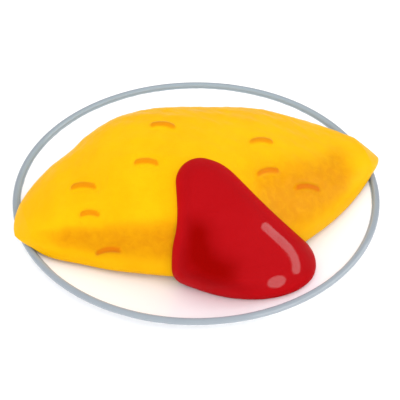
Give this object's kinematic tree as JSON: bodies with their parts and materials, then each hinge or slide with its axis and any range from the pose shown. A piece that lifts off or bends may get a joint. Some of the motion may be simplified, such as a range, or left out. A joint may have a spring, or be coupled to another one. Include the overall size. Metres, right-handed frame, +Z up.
{
  "type": "omurice on a plate",
  "caption": "Long pointed omelette roll lying aslant on a round white plate, with a thick tongue of ketchup running from its ridge down to the plate.",
  "frame": {"origin": "middle of the plate's foot ring, on the table", "axes": "+Z up, +X to the diner's right along the omelette, +Y away from the diner; the omelette's long axis is turned 18 degrees from +X towards +Y"},
  "size_m": [0.2128, 0.21, 0.0694],
  "materials": {
    "porcelain": "gloss",
    "egg": "satin",
    "ketchup": "gloss"
  },
  "bodies": {
    "root": {"plate": "porcelain", "omelette": "egg", "ketchup": "ketchup"}
  },
  "joints": []
}
